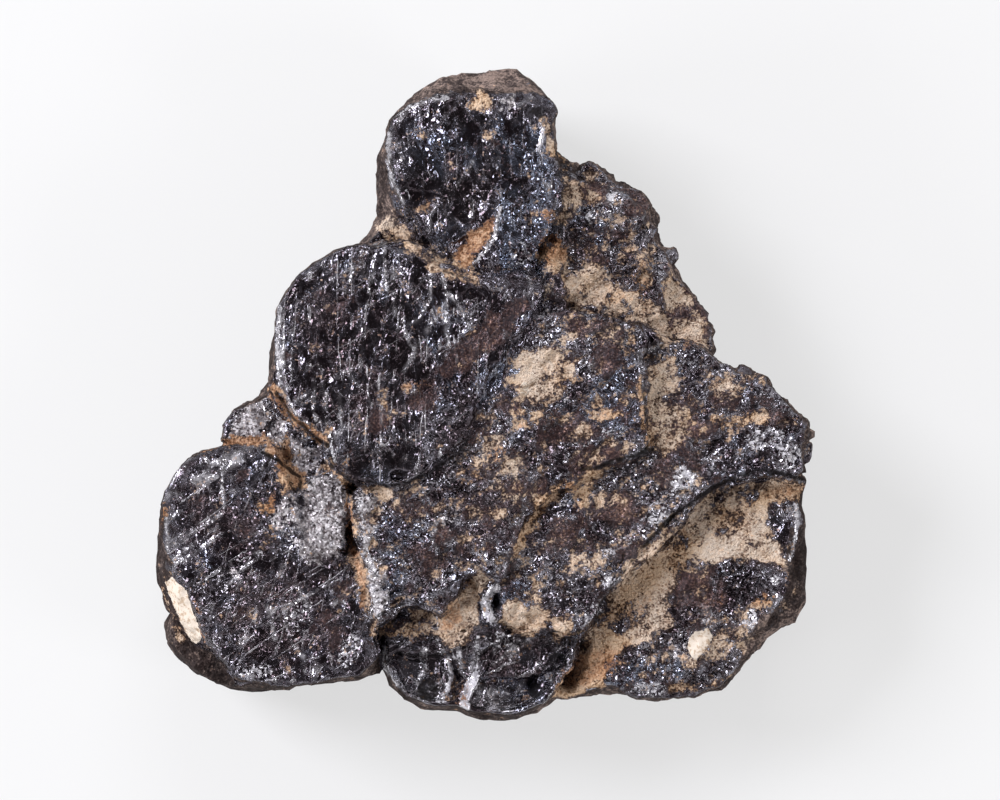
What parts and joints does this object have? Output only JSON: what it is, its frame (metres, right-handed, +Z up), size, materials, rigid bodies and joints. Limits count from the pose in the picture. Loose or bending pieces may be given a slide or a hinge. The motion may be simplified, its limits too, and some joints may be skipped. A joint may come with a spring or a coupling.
{
  "type": "ilmenite crystal cluster",
  "caption": "Loose cluster of black tabular ilmenite crystals, grown together in stepped plates, with rusty and clay-filled seams.",
  "frame": {"origin": "on the resting face, under the middle of the cluster's outline", "axes": "+Z up through the plates' thickness, with the black basal faces looking up; +Y towards the narrow end with the knob-shaped crystal; +X towards the low clay-covered plates"},
  "size_m": [0.0524, 0.052, 0.0169],
  "materials": {
    "ilmenite": "submetallic black with etched, glinting faces, rusty brown seams and cream clay in the hollows"
  },
  "bodies": {
    "root": {"ilmenite_cluster": "ilmenite"}
  },
  "joints": []
}
